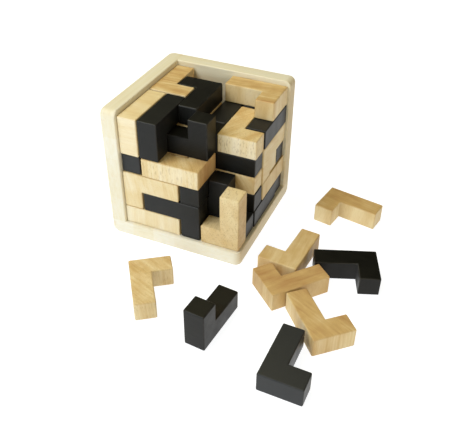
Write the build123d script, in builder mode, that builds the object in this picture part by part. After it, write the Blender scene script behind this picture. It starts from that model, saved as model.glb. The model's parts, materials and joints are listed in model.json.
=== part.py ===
from build123d import *
import math
import os

# Wooden packing puzzle: 54 identical L-shaped pieces and the three-panel corner tray that holds them.
#
# Forty-six pieces stand in the tray as a part-filled cube of 6 x 6 x 6 cells, and eight lie on the table
# beside it.  Millimetres, +Z up.  The origin is the centre of the tray's underside, +X points to the
# tray's open right side and -Y to its open front.

# ---- driving dimensions -------------------------------------------------------------------------
CELL = 16.3  # side of the square section that every piece is cut from
LONG_CELLS = 3  # cells in the long arm, corner cell included
SHORT_CELLS = 2  # cells in the short arm, corner cell included
EASE = 0.5  # small chamfer on a piece's outside edges
PITCH = 16.8  # spacing of neighbouring pieces across the tray: a cell and its play
LEVEL = 16.4  # height of one layer: a cell and a hair of clearance
CELLS_PER_SIDE = 6

WALL = 12.6  # thickness of the tray's three panels
TRAY_WIDTH = 115.2  # along X
TRAY_DEPTH = 115.6  # along Y
TRAY_HEIGHT = 114.8  # along Z, the walls stand a little above the pieces
CORNER_RADIUS = 5.5  # the panels' free corners and the upright edge behind the left wall
BASE_RADIUS = 5.0  # the floor's underside, along the left and the back
RIM_EASE = 1.0  # small chamfer along the walls' outer top edges

# ---- the corner where the cube of cells starts, in the tray's frame --------------------------------
GRID_X = WALL - TRAY_WIDTH / 2
GRID_Y = TRAY_DEPTH / 2 - WALL - CELLS_PER_SIDE * PITCH
GRID_Z = WALL

# ---- how the pieces are packed --------------------------------------------------------------------
# One drawing for each level, lowest level first, seen from above with the back wall at the top and the
# left wall on the left.  A letter is one cell, its four cells are one piece, and a dot is an empty cell.
# Capitals are black pieces and small letters are natural ones.
LEVELS = [
    "WWsXXX SWsXVV SWsvUV SvvvUV uRRRUU uuuQnn",
    "llsrtt SqqrTt NqrrTt NqPoTT NROOO. mQQQ.n",
    "lhJLLL HhJppp EEJpKk PPPooo NMMMO. mmmM.n",
    "lhJLKk HgggKk dEjFKk IIjDDD Ijji.. Iiii..",
    "Hh.FGG HgeFfG dEeFfG deeDff dBBB.. aA....",
    "b..ccc bCC..c bbC... aAC... aA.B.. aA....",
]

# ---- the loose pieces ---------------------------------------------------------------------------
# Colour, centre of the corner cell in X and Y, compass angle of the long arm from +X, and the side of
# the long arm that the short arm is on, or "up" for the piece that stands on its long arm.
LOOSE = [
    ("natural", -4.9, -104.1, -55.1, "left"),
    ("black", 62.3, -138.8, 84.5, "up"),
    ("black", 122.0, -155.4, 88.9, "right"),
    ("natural", 97.6, -51.0, 84.9, "left"),
    ("natural", 97.9, -81.7, 48.3, "left"),
    ("natural", 139.7, -110.9, 131.7, "right"),
    ("black", 151.1, -24.1, -159.5, "left"),
    ("natural", 105.6, 47.9, -10.3, "right"),
]

SIDES = {"left": 90, "right": -90}


def export(part, label):
    """Name a finished piece and write it to its own file."""
    part.label = label
    export_step(part, f"parts/{label}.step")


def l_piece(centre, long_arm, short_arm):
    """One puzzle piece: an L of four cells, from the centre of its corner cell and its arms' directions."""
    half = CELL / 2
    long_end = (LONG_CELLS - 0.5) * CELL
    short_end = (SHORT_CELLS - 0.5) * CELL
    face = Plane(origin=centre, x_dir=long_arm, z_dir=long_arm.cross(short_arm))
    with BuildPart() as piece:
        with BuildSketch(face):
            with BuildLine():
                Polyline(
                    (-half, -half),
                    (long_end, -half),
                    (long_end, half),
                    (half, half),
                    (half, short_end),
                    (-half, short_end),
                    close=True,
                )
            make_face()
        extrude(amount=half, both=True)
        inner_corner = face.from_local_coords((half, half, 0))
        outside = [edge for edge in piece.edges() if (edge.center() - inner_corner).length > EASE]
        chamfer(outside, length=EASE)
    return piece.part


def cells_by_letter():
    """The cells of each lettered piece, as (column, row, level) counted from the tray's inner corner."""
    cells = {}
    for level, drawing in enumerate(LEVELS):
        for line, text in enumerate(drawing.split()):
            for column, letter in enumerate(text):
                if letter != ".":
                    row = CELLS_PER_SIDE - 1 - line
                    cells.setdefault(letter, []).append(Vector(column, row, level))
    return cells


def arms_of(cells):
    """Corner cell and arm directions of a piece, longer arm first."""
    for corner in cells:
        others = [cell - corner for cell in cells if (cell - corner).length > 0]
        steps = [step for step in others if step.length == 1]
        if len(steps) == 2 and steps[0].dot(steps[1]) == 0:
            far = max(others, key=lambda step: step.length)
            steps.sort(key=lambda step: step.dot(far), reverse=True)
            return corner, steps[0], steps[1]
    raise ValueError("these four cells are not an L")


def packed_piece(cells):
    """A piece in the tray, centred in its cells, so that its play is shared by all six sides."""
    corner, long_arm, short_arm = arms_of(cells)
    centre = Vector(
        GRID_X + (corner.X + 0.5) * PITCH,
        GRID_Y + (corner.Y + 0.5) * PITCH,
        GRID_Z + (corner.Z + 0.5) * LEVEL,
    )
    return l_piece(centre, long_arm, short_arm)


def loose_piece(x, y, heading, side):
    """A piece on the table, flat on its face or standing on its long arm."""
    turn = math.radians(heading)
    long_arm = Vector(math.cos(turn), math.sin(turn), 0)
    if side == "up":
        short_arm = Vector(0, 0, 1)
    else:
        short_turn = turn + math.radians(SIDES[side])
        short_arm = Vector(math.cos(short_turn), math.sin(short_turn), 0)
    return l_piece(Vector(x, y, CELL / 2), long_arm, short_arm)


def tray_floor():
    """The floor panel: the whole footprint, rounded at two corners and under its left and back edges."""
    with BuildPart() as panel:
        with BuildSketch():
            outline = Rectangle(TRAY_WIDTH, TRAY_DEPTH)
            open_corner = outline.vertices().group_by(Axis.Y)[0].sort_by(Axis.X)[-1]
            back_left = outline.vertices().group_by(Axis.Y)[-1].sort_by(Axis.X)[0]
            fillet([open_corner, back_left], radius=CORNER_RADIUS)
        extrude(amount=WALL)
        underside = panel.faces().sort_by(Axis.Z)[0]
        left_and_back = underside.edges().filter_by(lambda edge: edge.center().Y > edge.center().X)
        fillet(left_and_back, radius=BASE_RADIUS)
    return panel.part


def tray_left_wall():
    """The left wall: stands on the floor, with its free top front corner rounded."""
    height = TRAY_HEIGHT - WALL
    outer_face = Plane.YZ.offset(-TRAY_WIDTH / 2)
    with BuildPart() as panel:
        with BuildSketch(outer_face):
            with Locations((0, WALL + height / 2)):
                outline = Rectangle(TRAY_DEPTH, height)
            free_corner = outline.vertices().group_by(Axis.Z)[-1].sort_by(Axis.Y)[0]
            fillet(free_corner, radius=CORNER_RADIUS)
        extrude(amount=WALL)
        outer_edges = panel.edges().group_by(Axis.X)[0]
        back_edge = outer_edges.filter_by(Axis.Z).sort_by(Axis.Y)[-1]
        fillet(back_edge, radius=CORNER_RADIUS)
        top_face = panel.faces().sort_by(Axis.Z)[-1]
        rim = top_face.edges().filter_by(Axis.Y).sort_by(Axis.X)[0]
        chamfer(rim, length=RIM_EASE)
    return panel.part


def tray_back_wall():
    """The back wall: stands on the floor against the left wall, with its free top right corner rounded."""
    height = TRAY_HEIGHT - WALL
    width = TRAY_WIDTH - WALL
    outer_face = Plane.XZ.offset(-TRAY_DEPTH / 2)
    with BuildPart() as panel:
        with BuildSketch(outer_face):
            with Locations((WALL / 2, WALL + height / 2)):
                outline = Rectangle(width, height)
            free_corner = outline.vertices().group_by(Axis.Z)[-1].sort_by(Axis.X)[-1]
            fillet(free_corner, radius=CORNER_RADIUS)
        extrude(amount=WALL)
        top_face = panel.faces().sort_by(Axis.Z)[-1]
        rim = top_face.edges().filter_by(Axis.X).sort_by(Axis.Y)[-1]
        chamfer(rim, length=RIM_EASE)
    return panel.part


os.makedirs("parts", exist_ok=True)

export(tray_floor(), "tray_floor")
export(tray_left_wall(), "tray_left_wall")
export(tray_back_wall(), "tray_back_wall")

for letter, cells in cells_by_letter().items():
    colour = "black" if letter.isupper() else "natural"
    export(packed_piece(cells), f"{colour}_{letter.lower()}")

for number, (colour, x, y, heading, side) in enumerate(LOOSE, start=1):
    export(loose_piece(x, y, heading, side), f"loose_{colour}_{number}")
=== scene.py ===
import json
import math
import random

import bmesh
import bpy
from mathutils import Matrix, Vector


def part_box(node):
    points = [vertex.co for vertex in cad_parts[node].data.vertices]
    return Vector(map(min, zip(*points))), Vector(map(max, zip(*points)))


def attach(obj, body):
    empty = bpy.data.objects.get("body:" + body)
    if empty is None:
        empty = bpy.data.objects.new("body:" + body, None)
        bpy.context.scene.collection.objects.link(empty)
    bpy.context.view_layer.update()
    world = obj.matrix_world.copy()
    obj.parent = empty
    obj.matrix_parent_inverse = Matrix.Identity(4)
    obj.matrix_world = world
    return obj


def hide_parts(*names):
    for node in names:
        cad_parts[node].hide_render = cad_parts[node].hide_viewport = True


# Wooden packing puzzle: rounded L-shaped pieces and a rounded corner tray, built over the CAD frame.
# Metres.  Every piece takes its place, size and direction from the CAD node that it replaces.

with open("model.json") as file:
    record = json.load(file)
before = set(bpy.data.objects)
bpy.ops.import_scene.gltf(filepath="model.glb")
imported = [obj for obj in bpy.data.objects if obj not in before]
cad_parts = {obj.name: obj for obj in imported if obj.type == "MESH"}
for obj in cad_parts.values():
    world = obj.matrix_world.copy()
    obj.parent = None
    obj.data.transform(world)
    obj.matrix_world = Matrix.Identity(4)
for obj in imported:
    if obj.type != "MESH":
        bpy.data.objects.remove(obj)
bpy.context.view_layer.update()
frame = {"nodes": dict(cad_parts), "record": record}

MM = 0.001
TRAY_NODES = ("tray_floor", "tray_left_wall", "tray_back_wall")

# ---- shapes -------------------------------------------------------------------------------------
PIECE_EDGE_RADIUS = 0.95 * MM  # the sanded edges of a piece, before its own small change
PIECE_EDGE_SPREAD = 0.20 * MM
PIECE_SHIFT = 0.12 * MM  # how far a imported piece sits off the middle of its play
TRAY_CORNER_RADIUS = 5.4 * MM
TRAY_RIM_RADIUS = 1.1 * MM
CUT_MARGIN = 0.02 * MM  # keeps a cut clear of the faces that lie in its plane
SHARP_ANGLE = math.radians(30)  # an outside edge that turns by more than this is rounded
PIECE_SEGMENTS = 3
TRAY_SEGMENTS = 8
RIM_SEGMENTS = 3
L_CELLS = ((0, 0), (1, 0), (2, 0), (0, 1))

# ---- timber ---------------------------------------------------------------------------------------
GRAIN_TILT = 0.05  # radians, how far the grain of one piece can lean
LOG_SPREAD = 400  # millimetres, how far apart in the log two pieces can be cut
STRIP_WIDTH = 19.0  # millimetres, the strips that a tray panel is glued up from

# ---- camera, stage and lights ---------------------------------------------------------------------------
CAMERA_PLACE = (0.20245, -0.41556, 0.34837)
CAMERA_HEADING = 0.3907  # turned from +Y towards -X
CAMERA_DIP = 0.6539
CAMERA_ROLL = 0.0190
CAMERA_LENS = 49.38
CAMERA_SENSOR = 36.0
STAGE_SIDE = 6.0
STAGE_DROP = 0.2 * MM  # keeps the table top just under the tray's underside
STAGE_COLOUR = (0.35, 0.35, 0.35, 1.0)
STAGE_GLOW_COLOUR = (0.97, 0.98, 1.0, 1.0)
STAGE_GLOW = 0.92
WORLD_GLOW = 0.02

# Each softbox: its name, its place, its side, its power in watts and its colour.
LIGHT_AIM = Vector((0.02, -0.02, 0.04))
LIGHTS = (
    ("low_front", (-0.20, -0.95, 0.30), 0.45, 3.0, (0.72, 0.86, 1.0)),
    ("high_front", (-0.40, -0.45, 0.85), 0.50, 6.3, (0.97, 0.99, 1.0)),
    ("front_right", (0.60, -0.80, 0.50), 0.50, 1.5, (1.0, 0.86, 0.50)),
    ("overhead", (-0.14, 0.18, 1.02), 0.55, 2.8, (1.0, 0.90, 0.52)),
    ("back_left", (-0.60, 0.30, 0.75), 0.50, 1.2, (1.0, 0.98, 0.55)),
    ("right", (1.00, -0.25, 0.45), 0.60, 2.1, (1.0, 0.90, 0.78)),
)

X_AXIS, Y_AXIS, Z_AXIS = Vector((1, 0, 0)), Vector((0, 1, 0)), Vector((0, 0, 1))

# How each natural piece looks, from 0 (cream) to 1 (orange-brown) in front, on top and at its right side,
# then how strong its streaks and its dark flecks are, and how far its bands turn from its long arm.
# The three face values are partly the piece's own tone and partly painted shade: a face is painted darker
# where less light falls on it.
NATURAL_TONE_AND_SHADE = {
    "natural_a": (0.08, 0.27, 0.30, 0.30, 0.10, 40),
    "natural_b": (0.20, 0.60, 0.40, 0.60, 0.20, 90),
    "natural_c": (0.35, 0.60, 0.36, 0.55, 0.30, 5),
    "natural_f": (0.10, 0.48, 0.33, 0.50, 1.00, 30),
    "natural_i": (0.24, 0.62, 0.76, 0.55, 0.65, 50),
    "natural_k": (0.35, 0.50, 0.28, 0.40, 0.20, 10),
    "natural_m": (0.26, 0.50, 0.40, 0.35, 0.35, 80),
    "natural_n": (0.44, 0.34, 0.48, 0.15, 1.00, 20),
    "natural_o": (0.42, 0.50, 0.35, 0.50, 0.30, 60),
    "natural_p": (0.40, 0.50, 0.22, 0.35, 0.20, 30),
    "natural_t": (0.40, 0.50, 0.38, 0.35, 0.20, 15),
    "natural_u": (0.14, 0.50, 0.40, 0.35, 0.10, 70),
    "loose_natural_1": (0.38, 0.47, 0.42, 0.50, 0.50, 35),
    "loose_natural_4": (0.46, 0.52, 0.62, 0.30, 0.20, 5),
    "loose_natural_5": (0.54, 0.74, 0.70, 0.40, 0.25, 0),
    "loose_natural_6": (0.48, 0.68, 0.52, 0.45, 0.15, -22),
    "loose_natural_8": (0.38, 0.61, 0.38, 0.45, 0.20, 8),
}

# How far each black piece is lifted towards grey, from 0 to 1: painted light, lighter on the pieces that
# catch more light and reflection.
BLACK_GREY_PAINTED_LIGHT = {
    "loose_black_2": 0.00,
    "loose_black_3": 0.80,
    "loose_black_7": 0.00,
    "black_a": 0.20,
    "black_b": 0.00,
    "black_c": 0.05,
    "black_d": 0.00,
    "black_g": 0.30,
    "black_i": 0.70,
    "black_m": 0.30,
    "black_q": 0.35,
}

# How yellow each tray panel looks in front, on top and at its right side: partly the panel's own tone,
# partly painted shade and painted warm bounce light, darker and yellower on the faces that get less light.
TRAY_TONE_AND_SHADE = {
    "tray_floor": (0.00, 0.00, 0.45),
    "tray_left_wall": (0.00, 0.00, 0.00),
    "tray_back_wall": (0.22, 0.05, 0.80),
}


# ---- meshes -------------------------------------------------------------------------------------
def piece_place(node):
    """An L piece's own axes from its CAD mesh, and the side of its square section.

    +X runs along the long arm and +Y along the short arm, from the centre of the corner cell.
    """
    mesh = node.data
    directions = []
    for polygon in mesh.polygons:
        for entry in directions:
            if abs(entry[0].dot(polygon.normal)) > 0.99:
                entry[1] += polygon.area
                break
        else:
            directions.append([polygon.normal.copy(), polygon.area])
    directions.sort(key=lambda entry: entry[1], reverse=True)
    across, short_arm, long_arm = [entry[0].normalized() for entry in directions[:3]]

    area = sum(polygon.area for polygon in mesh.polygons)
    centroid = sum((polygon.center * polygon.area for polygon in mesh.polygons), Vector()) / area

    def span(axis):
        distances = [axis.dot(vertex.co) for vertex in mesh.vertices]
        return min(distances), max(distances)

    for axis in (long_arm, short_arm):
        low, high = span(axis)
        if axis.dot(centroid) > (low + high) / 2:
            axis.negate()

    low, high = span(across)
    cell = high - low
    corner = across * (low + high) / 2
    corner += long_arm * (span(long_arm)[0] + cell / 2)
    corner += short_arm * (span(short_arm)[0] + cell / 2)
    place = Matrix((long_arm, short_arm, long_arm.cross(short_arm))).transposed().to_4x4()
    place.translation = corner
    return place, cell


def is_convex_sharp(edge):
    """Whether an edge is an outside corner sharp enough to be rounded."""
    return edge.is_convex and edge.calc_face_angle(0) > SHARP_ANGLE


def round_edges(shape, edges, radius, segments):
    bmesh.ops.bevel(shape, geom=edges, offset=radius, segments=segments, profile=0.5, affect="EDGES")


def mark_edges(mesh):
    """Store 1 on the vertices along the middle of each rounded edge and 0 elsewhere: it marks the edge
    colour, worn stain and a painted highlight on the black pieces and a darker colour on the others.
    """
    on_flat = [False] * len(mesh.vertices)
    for polygon in mesh.polygons:
        if max(abs(part) for part in polygon.normal) > 0.9999:
            for index in polygon.vertices:
                on_flat[index] = True
    attribute = mesh.attributes.new("edge", "FLOAT", "POINT")
    attribute.data.foreach_set("value", [0.0 if flat else 1.0 for flat in on_flat])


def l_mesh(name, cell, radius):
    """A rounded L piece of four cells, in its own axes."""
    shape = bmesh.new()
    corners = {}

    def corner(x, y, z):
        if (x, y, z) not in corners:
            corners[x, y, z] = shape.verts.new(((x - 0.5) * cell, (y - 0.5) * cell, (z - 0.5) * cell))
        return corners[x, y, z]

    for x, y in L_CELLS:
        ring = ((x, y), (x + 1, y), (x + 1, y + 1), (x, y + 1))
        shape.faces.new([corner(*point, 1) for point in ring])
        shape.faces.new([corner(*point, 0) for point in reversed(ring)])
        beyond = ((x, y - 1), (x + 1, y), (x, y + 1), (x - 1, y))
        for side, neighbour in enumerate(beyond):
            if neighbour not in L_CELLS:
                start, end = ring[side], ring[(side + 1) % 4]
                shape.faces.new([corner(*start, 0), corner(*end, 0), corner(*end, 1), corner(*start, 1)])
    bmesh.ops.recalc_face_normals(shape, faces=shape.faces)
    shape.normal_update()
    sharp = [edge for edge in shape.edges if is_convex_sharp(edge)]
    round_edges(shape, sharp, radius, PIECE_SEGMENTS)
    mesh = bpy.data.meshes.new(name)
    shape.to_mesh(mesh)
    shape.free()
    return mesh


def tray_solid(low, high, inner):
    """The whole tray in one rounded solid: a block from low to high, open above, in front and on the
    right of the inner corner."""
    shape = bmesh.new()
    xs, ys, zs = (low.x, inner.x, high.x), (high.y, inner.y, low.y), (low.z, inner.z, high.z)
    corners = {}

    def corner(i, j, k):
        if (i, j, k) not in corners:
            corners[i, j, k] = shape.verts.new((xs[i], ys[j], zs[k]))
        return corners[i, j, k]

    def face(*points):
        shape.faces.new([corner(*point) for point in points])

    # index 0 is the closed outer side, 1 is the inner face and 2 is the open side
    face((0, 0, 0), (2, 0, 0), (2, 2, 0), (0, 2, 0))
    face((0, 0, 0), (0, 2, 0), (0, 2, 2), (0, 0, 2))
    face((0, 0, 0), (0, 0, 2), (2, 0, 2), (2, 0, 0))
    face((1, 1, 1), (1, 2, 1), (2, 2, 1), (2, 1, 1))
    face((1, 1, 1), (1, 1, 2), (1, 2, 2), (1, 2, 1))
    face((1, 1, 1), (2, 1, 1), (2, 1, 2), (1, 1, 2))
    face((0, 2, 0), (2, 2, 0), (2, 2, 1), (1, 2, 1))
    face((0, 2, 0), (1, 2, 1), (1, 2, 2), (0, 2, 2))
    face((2, 0, 0), (2, 0, 2), (2, 1, 2), (2, 1, 1))
    face((2, 0, 0), (2, 1, 1), (2, 2, 1), (2, 2, 0))
    face((0, 0, 2), (0, 2, 2), (1, 2, 2), (1, 1, 2))
    face((0, 0, 2), (1, 1, 2), (2, 1, 2), (2, 0, 2))
    bmesh.ops.recalc_face_normals(shape, faces=shape.faces)
    shape.normal_update()

    def edge(start, end):
        return shape.edges.get((corner(*start), corner(*end)))

    large = [
        edge((0, 0, 0), (0, 0, 2)),
        edge((0, 0, 0), (0, 2, 0)),
        edge((0, 0, 0), (2, 0, 0)),
        edge((2, 2, 0), (2, 2, 1)),
        edge((0, 2, 2), (1, 2, 2)),
        edge((2, 0, 2), (2, 1, 2)),
    ]
    round_edges(shape, large, TRAY_CORNER_RADIUS, TRAY_SEGMENTS)
    shape.normal_update()
    rims = [rim for rim in shape.edges if is_convex_sharp(rim)]
    round_edges(shape, rims, TRAY_RIM_RADIUS, RIM_SEGMENTS)
    return shape


def keep_side(shape, point, normal):
    """Cut a solid with a plane, keep the part that the normal points to and close the cut."""
    everything = shape.verts[:] + shape.edges[:] + shape.faces[:]
    cut = bmesh.ops.bisect_plane(
        shape, geom=everything, plane_co=point, plane_no=normal, clear_inner=True, dist=0.001 * MM
    )
    loop = [item for item in cut["geom_cut"] if isinstance(item, bmesh.types.BMEdge)]
    bmesh.ops.triangle_fill(shape, edges=loop, use_beauty=True)
    bmesh.ops.recalc_face_normals(shape, faces=shape.faces)


def store_wood(mesh, to_wood, looks):
    """Store where each vertex lies in the timber, in millimetres, and how each face is cut."""
    place = mesh.attributes.new("wood_place", "FLOAT_VECTOR", "POINT")
    for vertex, item in zip(mesh.vertices, place.data):
        item.vector = to_wood @ vertex.co
    look = mesh.attributes.new("wood_look", "FLOAT_COLOR", "CORNER")
    for polygon in mesh.polygons:
        for index in polygon.loop_indices:
            look.data[index].color = (*looks(polygon), 1.0)


def wood_axes(grain, ring, seed):
    """A matrix from metres to millimetres of timber: x along the grain and y through the year rings."""
    chance = random.Random(seed)
    third = grain.cross(ring)
    turn = Matrix((grain, ring, third)).to_4x4()
    lean, swing = [chance.uniform(-GRAIN_TILT, GRAIN_TILT) for _ in range(2)]
    tilt = Matrix.Rotation(lean, 4, "Y") @ Matrix.Rotation(swing, 4, "Z")
    shift = Matrix.Translation([chance.uniform(-LOG_SPREAD, LOG_SPREAD) for _ in range(3)])
    return shift @ tilt @ turn @ Matrix.Scale(1 / MM, 4)


def smooth_rounded(obj):
    """Shade the rounded edges smoothly and keep the flat faces flat."""
    for polygon in obj.data.polygons:
        polygon.use_smooth = True
    weighted = obj.modifiers.new("flat faces stay flat", "WEIGHTED_NORMAL")
    weighted.weight = 100


# ---- materials ----------------------------------------------------------------------------------
def new_material(name):
    material = bpy.data.materials.new(name)
    material.use_nodes = True
    tree = material.node_tree
    return material, tree, tree.nodes["Principled BSDF"]


def add(tree, kind, inputs=None, **settings):
    """A shader node, with its settings and its inputs: a value is set, and another node's socket linked."""
    node = tree.nodes.new(kind)
    for key, value in settings.items():
        setattr(node, key, value)
    for key, value in (inputs or {}).items():
        if isinstance(value, bpy.types.NodeSocket):
            tree.links.new(value, node.inputs[key])
        else:
            node.inputs[key].default_value = value
    return node


def attribute(tree, name, output):
    return add(tree, "ShaderNodeAttribute", attribute_name=name).outputs[output]


def noise(tree, place, scale, detail=3.0, roughness=0.55):
    """Noise over the timber, with its own scale along each of the timber's axes, per millimetre."""
    mapped = add(tree, "ShaderNodeMapping", {"Vector": place, "Scale": scale}).outputs["Vector"]
    inputs = {"Vector": mapped, "Scale": 1.0, "Detail": detail, "Roughness": roughness}
    return add(tree, "ShaderNodeTexNoise", inputs).outputs["Fac"]


def maths(tree, operation, first, second=0.0, clamp=False):
    node = add(tree, "ShaderNodeMath", {0: first, 1: second}, operation=operation, use_clamp=clamp)
    return node.outputs[0]


def spread(tree, value, low, high, new_low=0.0, new_high=1.0):
    """Stretch a value's range from low..high to new_low..new_high, and hold it there."""
    inputs = {"Value": value, "From Min": low, "From Max": high, "To Min": new_low, "To Max": new_high}
    return add(tree, "ShaderNodeMapRange", inputs, clamp=True).outputs["Result"]


def mix(tree, amount, first, second):
    node = add(tree, "ShaderNodeMix", data_type="RGBA")
    for key, value in ((0, amount), (6, first), (7, second)):
        if isinstance(value, bpy.types.NodeSocket):
            tree.links.new(value, node.inputs[key])
        else:
            node.inputs[key].default_value = value
    return node.outputs[2]


def ramp(tree, value, stops):
    """A colour for each place along a value, from (place, colour) pairs."""
    node = add(tree, "ShaderNodeValToRGB", {"Fac": value})
    elements = node.color_ramp.elements
    while len(elements) < len(stops):
        elements.new(1.0)
    for element, (place, colour) in zip(elements, stops):
        element.position = place
        element.color = (*colour, 1.0)
    return node.outputs["Color"]


def stored_look(tree):
    """The red, green and blue channels that say how each face is cut."""
    return add(tree, "ShaderNodeSeparateColor", {"Color": attribute(tree, "wood_look", "Color")}).outputs


def give_relief(tree, surface, rings, fibres, depth):
    """Raise the surface a little along its year rings and fibres."""
    height = maths(tree, "ADD", maths(tree, "MULTIPLY", rings, 0.4), maths(tree, "MULTIPLY", fibres, 0.6))
    bump = add(tree, "ShaderNodeBump", {"Height": height, "Distance": depth, "Strength": 1.0})
    tree.links.new(bump.outputs["Normal"], surface.inputs["Normal"])


def natural_wood():
    """Sanded bare timber, from cream to orange-brown, with year-ring streaks, pores, dark flecks, painted
    shade by the way each face faces, and darker rounded edges.
    """
    material, tree, surface = new_material("natural_wood")
    place = attribute(tree, "wood_place", "Vector")
    look = stored_look(tree)
    # The red channel is the piece's own tone together with the painted shade of each face.
    tone_and_shade, streaks, flecks = look["Red"], look["Green"], look["Blue"]
    edge = attribute(tree, "edge", "Fac")

    clouds = noise(tree, place, (0.03, 0.07, 0.07), detail=2.0)
    bands = noise(tree, place, (0.006, 0.15, 0.02), detail=2.0)
    rings = noise(tree, place, (0.012, 0.62, 0.05), detail=4.0, roughness=0.65)
    fibres = noise(tree, place, (0.14, 2.4, 2.4), detail=2.0)
    pores = noise(tree, place, (0.30, 1.0, 1.0), detail=1.0)

    drift = maths(tree, "MULTIPLY", maths(tree, "SUBTRACT", clouds, 0.5), 0.55)
    both = maths(tree, "ADD", maths(tree, "MULTIPLY", rings, 1.1), maths(tree, "MULTIPLY", bands, 1.3))
    banding = maths(tree, "MULTIPLY", maths(tree, "SUBTRACT", both, 1.2), streaks)
    shade = maths(tree, "ADD", maths(tree, "ADD", tone_and_shade, drift), banding, clamp=True)
    colour = ramp(
        tree,
        shade,
        (
            (0.0, (0.84, 0.74, 0.52)),
            (0.3, (0.77, 0.62, 0.34)),
            (0.6, (0.62, 0.42, 0.17)),
            (1.0, (0.42, 0.21, 0.07)),
        ),
    )
    fleck = maths(tree, "MULTIPLY", spread(tree, pores, 0.56, 0.70), maths(tree, "MULTIPLY", flecks, 0.42))
    colour = mix(tree, fleck, colour, (0.30, 0.16, 0.06, 1.0))
    fibre_shade = maths(tree, "MULTIPLY", spread(tree, fibres, 0.35, 0.75), 0.16)
    colour = mix(tree, fibre_shade, colour, (0.45, 0.27, 0.10, 1.0))
    # Darker and browner along the rounded edges.
    edge_darkening = maths(tree, "MULTIPLY", edge, spread(tree, clouds, 0.3, 0.7, 0.10, 0.34))
    colour = mix(tree, edge_darkening, colour, (0.52, 0.34, 0.14, 1.0))

    tree.links.new(colour, surface.inputs["Base Color"])
    tree.links.new(spread(tree, fibres, 0.3, 0.7, 0.46, 0.62), surface.inputs["Roughness"])
    give_relief(tree, surface, rings, fibres, 0.06 * MM)
    surface.inputs["Specular IOR Level"].default_value = 0.35
    return material


def black_wood():
    """Timber stained black and lightly waxed: the grain shows faintly, painted light lifts some pieces
    towards grey, and the edges are lighter, partly worn stain and partly a painted highlight.
    """
    material, tree, surface = new_material("black_wood")
    place = attribute(tree, "wood_place", "Vector")
    edge = attribute(tree, "edge", "Fac")
    clouds = noise(tree, place, (0.05, 0.09, 0.09), detail=3.0)
    rings = noise(tree, place, (0.015, 0.7, 0.08), detail=4.0)
    fibres = noise(tree, place, (0.14, 2.4, 2.4), detail=2.0)

    colour = ramp(tree, rings, ((0.30, (0.0042, 0.0041, 0.0031)), (0.75, (0.0080, 0.0075, 0.0056))))
    # Painted light: each piece is lifted towards grey by its stored amount.
    colour = mix(tree, stored_look(tree)["Red"], colour, (0.033, 0.035, 0.036, 1.0))
    # Lighter along the rounded edges: partly worn stain, partly a painted highlight.
    edge_wear_and_highlight = maths(tree, "MULTIPLY", edge, spread(tree, clouds, 0.40, 0.65, 0.15, 0.75))
    colour = mix(tree, edge_wear_and_highlight, colour, (0.038, 0.036, 0.031, 1.0))
    tree.links.new(colour, surface.inputs["Base Color"])
    tree.links.new(spread(tree, clouds, 0.3, 0.7, 0.36, 0.46), surface.inputs["Roughness"])
    give_relief(tree, surface, rings, fibres, 0.05 * MM)
    surface.inputs["Specular IOR Level"].default_value = 0.22
    return material


def tray_wood():
    """Cream panels glued up from strips, with faint streaks, small orange spots, painted shade by the way
    each face faces, and darker rounded edges.
    """
    material, tree, surface = new_material("tray_wood")
    place = attribute(tree, "wood_place", "Vector")
    edge = attribute(tree, "edge", "Fac")
    parts = add(tree, "ShaderNodeSeparateXYZ", {"Vector": place}).outputs
    strip = maths(tree, "FLOOR", maths(tree, "DIVIDE", parts["Z"], STRIP_WIDTH))
    strip_tone = add(tree, "ShaderNodeTexWhiteNoise", {"W": strip}, noise_dimensions="1D").outputs["Value"]
    clouds = noise(tree, place, (0.02, 0.05, 0.05), detail=2.0)
    rings = noise(tree, place, (0.010, 0.45, 0.16), detail=4.0, roughness=0.6)
    fibres = noise(tree, place, (0.12, 2.2, 2.2), detail=2.0)
    spots = noise(tree, place, (0.10, 0.22, 0.22), detail=1.0)

    # The stored tone is partly the panel's own tone and partly painted shade by face direction.
    tone_and_shade = stored_look(tree)["Red"]
    streak_shade = maths(tree, "MULTIPLY", rings, 0.90)
    strip_shade = maths(tree, "MULTIPLY", strip_tone, 0.28)
    shade = maths(tree, "ADD", streak_shade, strip_shade)
    shade = maths(tree, "ADD", maths(tree, "SUBTRACT", shade, 0.28), tone_and_shade)
    drift = maths(tree, "MULTIPLY", maths(tree, "SUBTRACT", clouds, 0.5), 0.35)
    shade = maths(tree, "ADD", shade, drift, clamp=True)
    colour = ramp(
        tree,
        shade,
        (
            (0.0, (0.80, 0.76, 0.64)),
            (0.45, (0.77, 0.70, 0.51)),
            (1.0, (0.62, 0.50, 0.29)),
        ),
    )
    colour = mix(tree, spread(tree, spots, 0.68, 0.78, 0.0, 0.25), colour, (0.72, 0.50, 0.22, 1.0))
    # Darker along the rounded edges.
    edge_darkening = maths(tree, "MULTIPLY", edge, 0.10)
    colour = mix(tree, edge_darkening, colour, (0.66, 0.52, 0.30, 1.0))
    tree.links.new(colour, surface.inputs["Base Color"])
    tree.links.new(spread(tree, fibres, 0.3, 0.7, 0.48, 0.62), surface.inputs["Roughness"])
    give_relief(tree, surface, rings, fibres, 0.05 * MM)
    surface.inputs["Specular IOR Level"].default_value = 0.35
    return material


# ---- the pieces ---------------------------------------------------------------------------------
def by_direction(front, top, side):
    """A value for each face from the way it looks: to the front or back, up or down, or sideways."""

    def value(polygon):
        normal = polygon.normal
        return normal.y ** 2 * front + normal.z ** 2 * top + normal.x ** 2 * side

    return value


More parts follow.
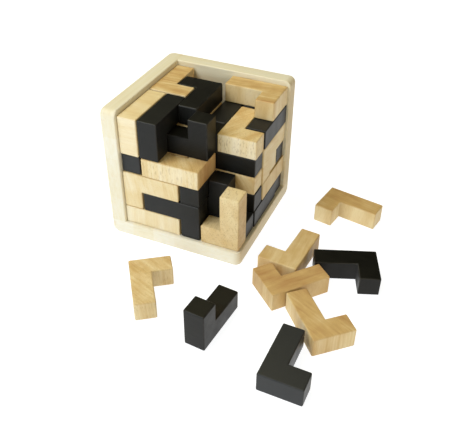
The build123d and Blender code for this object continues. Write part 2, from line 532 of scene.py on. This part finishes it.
def natural_looks(name, chance):
    """How each face of a natural piece is cut, with its painted shade, and how far its bands turn from its
    long arm.
    """
    guess = chance.uniform(0.2, 0.5)
    streaks, flecks, turn = chance.uniform(0.3, 0.6), chance.uniform(0.1, 0.5), chance.uniform(-45, 45)
    # A piece without a listed look gets painted shade: its top 0.2 darker and its sides 0.1 darker than its
    # front.
    plain = (guess, guess + 0.2, guess + 0.1, streaks, flecks, turn)
    front, top, side, streaks, flecks, turn = NATURAL_TONE_AND_SHADE.get(name, plain)
    # Painted shade: each face's tone darkens by the way it faces.
    tone_and_shade = by_direction(front, top, side)
    return lambda polygon: (tone_and_shade(polygon), streaks, flecks), turn


def black_looks(name, chance):
    """How far painted light lifts a black piece towards grey, and how far its bands turn from its long arm.
    """
    grey_painted_light = BLACK_GREY_PAINTED_LIGHT.get(name, chance.uniform(0.0, 0.3))
    return lambda polygon: (grey_painted_light, 0.0, 0.0), chance.uniform(-45, 45)


def build_piece(name, body, materials):
    """Replace one L piece's CAD node with its rounded, grained copy."""
    chance = random.Random(name)
    node = frame["nodes"][name]
    place, cell = piece_place(node)
    radius = PIECE_EDGE_RADIUS + chance.uniform(-1, 1) * PIECE_EDGE_SPREAD
    mesh = l_mesh(name + "_look", cell, radius)
    mark_edges(mesh)
    if not name.startswith("loose"):
        place.translation += Vector((chance.uniform(-1, 1), chance.uniform(-1, 1), 0)) * PIECE_SHIFT
    mesh.transform(place)
    mesh.update()

    slot = "black_wood" if "black" in name else "natural_wood"
    looks, turn = black_looks(name, chance) if slot == "black_wood" else natural_looks(name, chance)
    _, short_arm, across = [column.normalized() for column in place.to_3x3().col]
    ring = Matrix.Rotation(math.radians(turn), 3, across) @ short_arm
    store_wood(mesh, wood_axes(across, ring, name), looks)
    obj = bpy.data.objects.new(name + "_look", mesh)
    bpy.context.scene.collection.objects.link(obj)
    smooth_rounded(obj)
    mesh.materials.append(materials[slot])
    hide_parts(name)
    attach(obj, body)


def build_tray(materials):
    """Round the tray in one solid, then cut it into its three panels."""
    boxes = {name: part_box(name) for name in TRAY_NODES}
    low, floor_high = boxes["tray_floor"]
    inner = Vector((boxes["tray_left_wall"][1].x, boxes["tray_back_wall"][0].y, floor_high.z))
    high = Vector((floor_high.x, floor_high.y, boxes["tray_left_wall"][1].z))
    seam = inner + CUT_MARGIN * (X_AXIS + Z_AXIS)
    cuts = {
        "tray_floor": ((seam, -Z_AXIS),),
        "tray_left_wall": ((seam, Z_AXIS), (seam, -X_AXIS)),
        "tray_back_wall": ((seam, Z_AXIS), (seam, X_AXIS)),
    }
    grains = {
        "tray_floor": (Y_AXIS, Z_AXIS),
        "tray_left_wall": (Y_AXIS, X_AXIS),
        "tray_back_wall": (X_AXIS, Y_AXIS),
    }
    for name in TRAY_NODES:
        shape = tray_solid(low, high, inner)
        for point, normal in cuts[name]:
            keep_side(shape, point, normal)
        mesh = bpy.data.meshes.new(name + "_look")
        shape.to_mesh(mesh)
        shape.free()
        mark_edges(mesh)
        grain, ring = grains[name]
        # Painted shade: each face's tone darkens and yellows by the way it faces.
        tone_and_shade = by_direction(*TRAY_TONE_AND_SHADE[name])
        store_wood(mesh, wood_axes(grain, ring, name), lambda polygon: (tone_and_shade(polygon), 0.0, 0.0))
        obj = bpy.data.objects.new(name + "_look", mesh)
        bpy.context.scene.collection.objects.link(obj)
        smooth_rounded(obj)
        mesh.materials.append(materials["tray_wood"])
        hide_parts(name)
        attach(obj, "tray")


# ---- stage, light and camera --------------------------------------------------------------------
def build_stage():
    """A plain white table top that glows a little, so that the soft shadows on it stay faint."""
    mesh = bpy.data.meshes.new("stage")
    half = STAGE_SIDE / 2
    corners = [(-half, -half, 0), (half, -half, 0), (half, half, 0), (-half, half, 0)]
    mesh.from_pydata(corners, [], [(0, 1, 2, 3)])
    obj = bpy.data.objects.new("stage", mesh)
    obj.location.z = -STAGE_DROP
    bpy.context.scene.collection.objects.link(obj)
    material, _, surface = new_material("stage_white")
    surface.inputs["Base Color"].default_value = STAGE_COLOUR
    surface.inputs["Roughness"].default_value = 0.9
    surface.inputs["Specular IOR Level"].default_value = 0.0
    surface.inputs["Emission Color"].default_value = STAGE_GLOW_COLOUR
    surface.inputs["Emission Strength"].default_value = STAGE_GLOW
    mesh.materials.append(material)


def area_light(name, place, size, power, colour):
    """A square softbox that faces the puzzle."""
    data = bpy.data.lights.new(name, "AREA")
    data.size = size
    data.energy = power
    data.color = colour
    obj = bpy.data.objects.new(name, data)
    obj.location = place
    obj.rotation_euler = (LIGHT_AIM - Vector(place)).to_track_quat("-Z", "Y").to_euler()
    bpy.context.scene.collection.objects.link(obj)


def build_lights():
    """A faint even glow and the softboxes, all aimed at the puzzle."""
    world = bpy.data.worlds.new("studio")
    world.use_nodes = True
    background = world.node_tree.nodes["Background"]
    background.inputs["Color"].default_value = (1.0, 1.0, 1.0, 1.0)
    background.inputs["Strength"].default_value = WORLD_GLOW
    bpy.context.scene.world = world
    for light in LIGHTS:
        area_light(*light)


def build_camera():
    """The camera, above the open front and to the right."""
    data = bpy.data.cameras.new("camera")
    data.lens = CAMERA_LENS
    data.sensor_width = CAMERA_SENSOR
    data.sensor_fit = "HORIZONTAL"
    data.clip_start = 0.01
    obj = bpy.data.objects.new("camera", data)
    aim = Matrix.Rotation(CAMERA_HEADING, 4, "Z") @ Matrix.Rotation(math.pi / 2 - CAMERA_DIP, 4, "X")
    obj.matrix_world = Matrix.Translation(CAMERA_PLACE) @ aim @ Matrix.Rotation(CAMERA_ROLL, 4, "Z")
    bpy.context.scene.collection.objects.link(obj)
    bpy.context.scene.camera = obj


materials = {"natural_wood": natural_wood(), "black_wood": black_wood(), "tray_wood": tray_wood()}
build_tray(materials)
for body, members in frame["record"]["behaviour"]["bodies"].items():
    for member in members:
        if member not in TRAY_NODES:
            build_piece(member, body, materials)
build_stage()
build_lights()
build_camera()
bpy.context.scene.view_settings.view_transform = "Standard"
